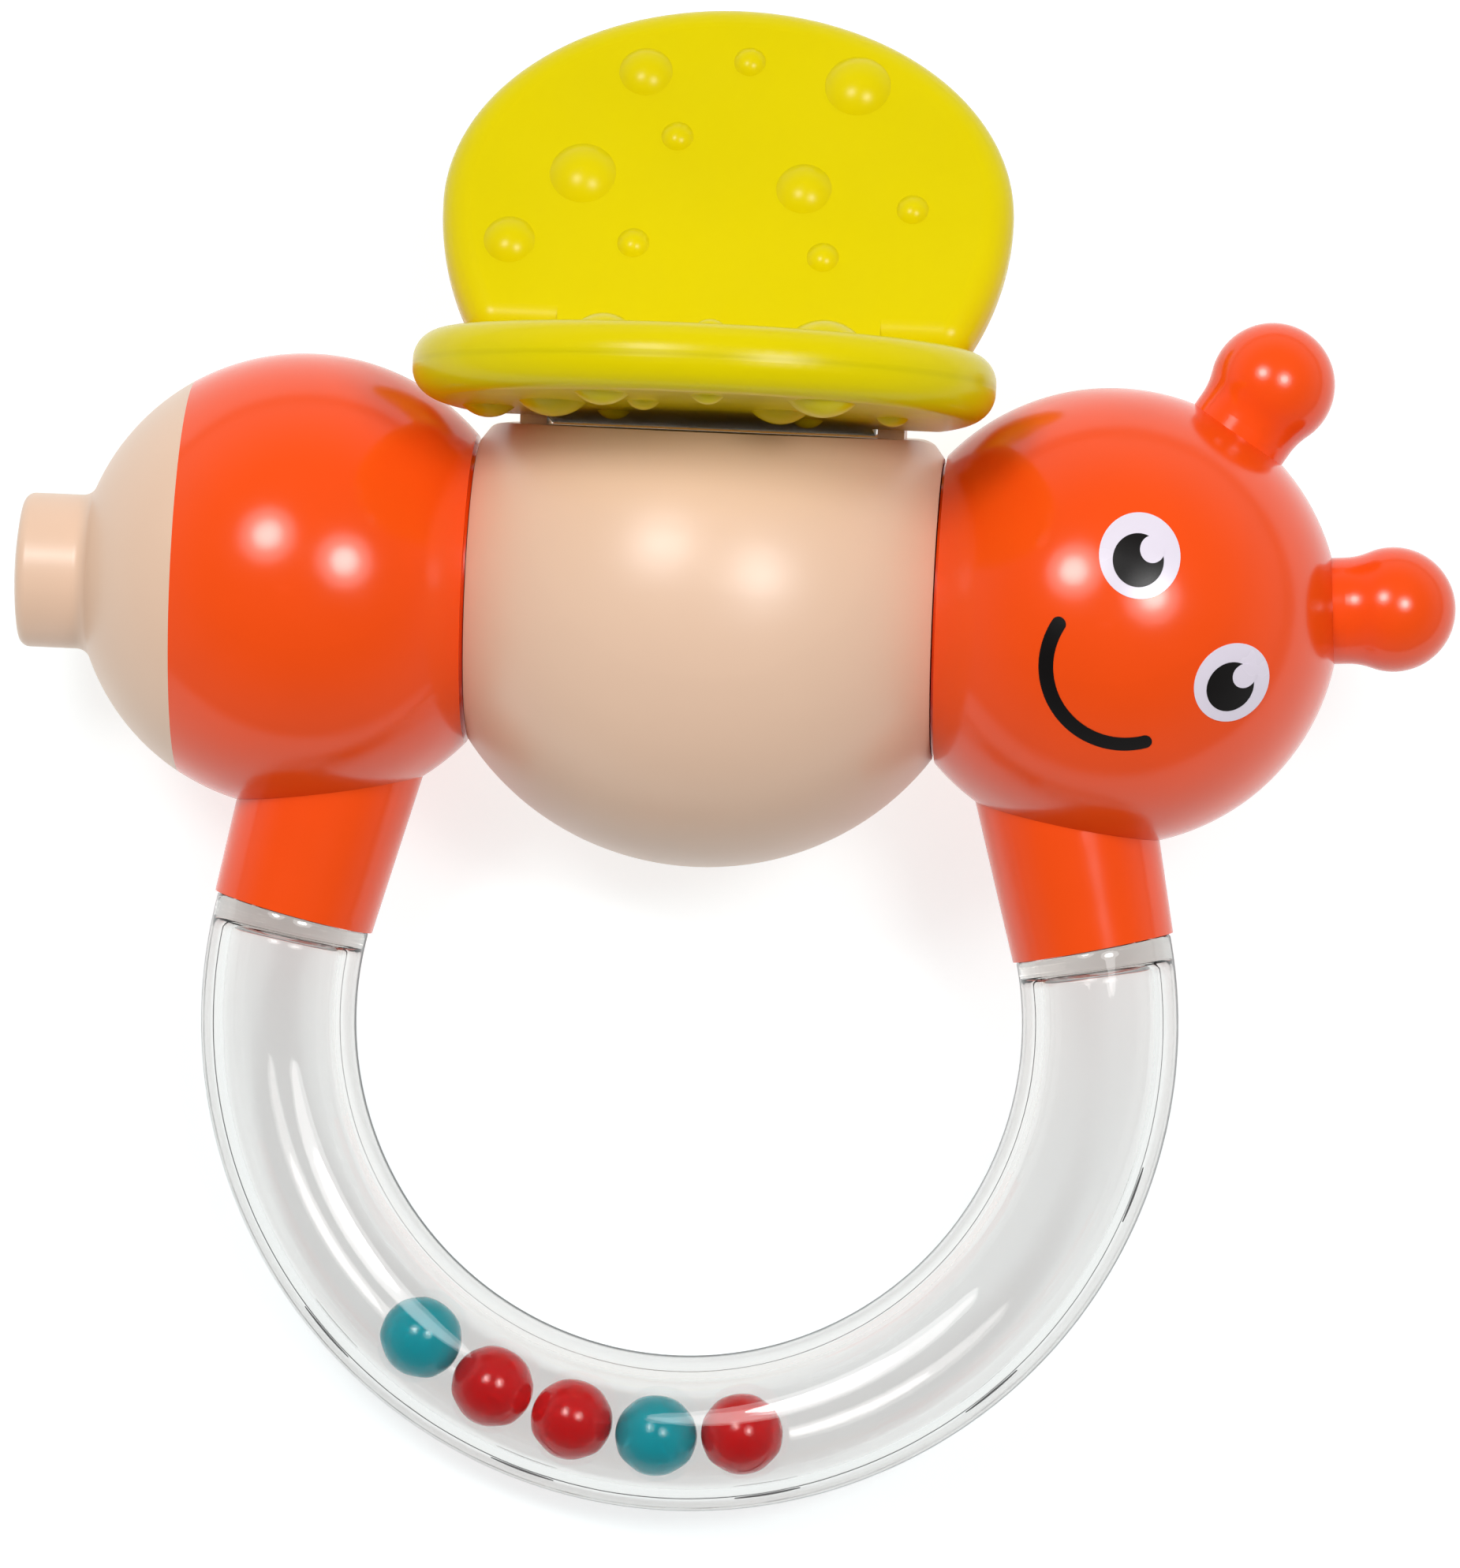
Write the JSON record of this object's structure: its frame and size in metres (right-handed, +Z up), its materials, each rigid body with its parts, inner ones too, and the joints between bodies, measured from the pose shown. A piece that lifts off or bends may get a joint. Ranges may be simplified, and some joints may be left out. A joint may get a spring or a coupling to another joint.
{
  "type": "baby rattle",
  "caption": "Winged bug rattle: a turning middle ball with dotted V wings between two end balls, on a clear C-shaped handle tube with loose beads.",
  "frame": {"origin": "centre of the resting rattle's bounding box, on the surface it lies on", "axes": "+X along the body towards the head as seen from above, +Y from the ring handle towards the wings, +Z up, out of the face; the toy leans 12.6 degrees back on its ring and 5.7 degrees towards the tail"},
  "size_m": [0.1338, 0.1408, 0.069],
  "materials": {
    "orange": "gloss",
    "beige": "satin",
    "lime": "gloss",
    "steel": "satin",
    "shaft_plastic": "matte",
    "clear": "gloss",
    "teal_bead": "gloss",
    "red_bead": "gloss"
  },
  "bodies": {
    "frame": {"head_front_shell": "orange", "head_rear_shell": "orange", "antenna_upper": "orange", "antenna_lower": "orange", "abdomen_front_shell": "orange", "abdomen_rear_shell": "orange", "tail_cap": "beige", "spindle": "shaft_plastic", "washer_head_side": "shaft_plastic", "washer_tail_side": "shaft_plastic", "tube_front_half": "clear", "tube_rear_half": "clear"},
    "middle": {"middle_front_shell": "beige", "middle_rear_shell": "beige", "wing_pin": "steel"},
    "wings": {"wing_inner_shell": "lime", "wing_outer_shell": "lime"},
    "bead_1": {"bead_1": "teal_bead"},
    "bead_2": {"bead_2": "red_bead"},
    "bead_3": {"bead_3": "red_bead"},
    "bead_4": {"bead_4": "teal_bead"},
    "bead_5": {"bead_5": "red_bead"}
  },
  "joints": [
    {"name": "middle_spin", "type": "hinge", "parent": "frame", "child": "middle", "pos_m": [-0.00241, 0.01287, 0.02501], "axis": [0.9951, 0, 0.0985], "continuous": true},
    {"name": "wing_rock", "type": "hinge", "parent": "middle", "child": "wings", "pos_m": [-0.00282, 0.03141, 0.02915], "axis": [-0.9951, 0, -0.0985], "range_deg": [0, 57]},
    {"name": "bead_1_run", "type": "hinge", "parent": "frame", "child": "bead_1", "pos_m": [-0.00156, -0.02577, 0.01639], "axis": [-0.0961, -0.2188, 0.971], "range_deg": [-56, 84]},
    {"name": "bead_2_run", "type": "hinge", "parent": "frame", "child": "bead_2", "pos_m": [-0.00156, -0.02577, 0.01639], "axis": [-0.0961, -0.2188, 0.971], "range_deg": [-56, 84]},
    {"name": "bead_3_run", "type": "hinge", "parent": "frame", "child": "bead_3", "pos_m": [-0.00156, -0.02577, 0.01639], "axis": [-0.0961, -0.2188, 0.971], "range_deg": [-56, 84]},
    {"name": "bead_4_run", "type": "hinge", "parent": "frame", "child": "bead_4", "pos_m": [-0.00156, -0.02577, 0.01639], "axis": [-0.0961, -0.2188, 0.971], "range_deg": [-56, 84]},
    {"name": "bead_5_run", "type": "hinge", "parent": "frame", "child": "bead_5", "pos_m": [-0.00156, -0.02577, 0.01639], "axis": [-0.0961, -0.2188, 0.971], "range_deg": [-56, 84]}
  ],
  "couplings": [
    {"joint": "bead_1_run", "follows": "bead_3_run", "ratio": 1},
    {"joint": "bead_2_run", "follows": "bead_3_run", "ratio": 1},
    {"joint": "bead_4_run", "follows": "bead_3_run", "ratio": 1},
    {"joint": "bead_5_run", "follows": "bead_3_run", "ratio": 1}
  ]
}
